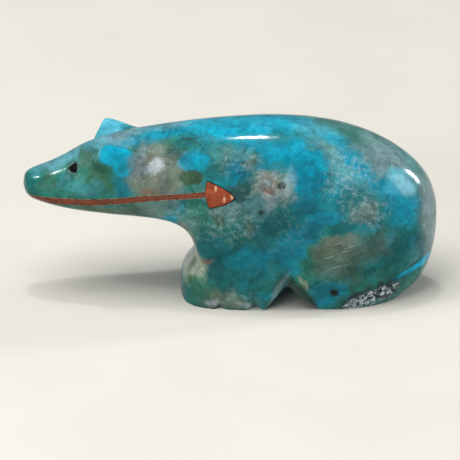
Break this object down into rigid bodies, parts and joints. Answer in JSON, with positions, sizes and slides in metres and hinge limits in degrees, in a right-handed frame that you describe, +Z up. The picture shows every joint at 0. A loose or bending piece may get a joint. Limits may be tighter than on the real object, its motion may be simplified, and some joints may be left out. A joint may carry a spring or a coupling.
{
  "type": "carved stone bear",
  "caption": "Polished carved stone bear standing on a flat base, with an inlaid stone heartline running from the mouth to an arrowhead on each flank, and inlaid eyes.",
  "frame": {"origin": "On the resting plane, under the middle of the bear's length and thickness.", "axes": "+X from the nose to the rump, +Y from the left flank to the right flank, +Z up."},
  "size_m": [0.07, 0.022, 0.0312],
  "materials": {
    "turquoise_stone": "Polished turquoise and chrysocolla with blue, green, grey and brown patches, slightly translucent.",
    "heartline_stone": "Polished red-brown stone, flush with the body.",
    "arrowhead_stone": "Polished orange-red stone with pale flecks.",
    "jet": "Polished black, domed.",
    "clear_cement": "Hard, cloudy clear epoxy.",
    "dark_cement": "Hard, dark epoxy."
  },
  "bodies": {
    "root": {"stone_body": "turquoise_stone", "left_eye": "jet", "left_eye_glue": "clear_cement", "left_heartline_front": "heartline_stone", "left_heartline_middle": "heartline_stone", "left_heartline_rear": "heartline_stone", "left_heartline_glue": "dark_cement", "left_arrowhead": "arrowhead_stone", "left_arrowhead_glue": "dark_cement", "right_eye": "jet", "right_eye_glue": "clear_cement", "right_heartline_front": "heartline_stone", "right_heartline_middle": "heartline_stone", "right_heartline_rear": "heartline_stone", "right_heartline_glue": "dark_cement", "right_arrowhead": "arrowhead_stone", "right_arrowhead_glue": "dark_cement"}
  },
  "joints": []
}
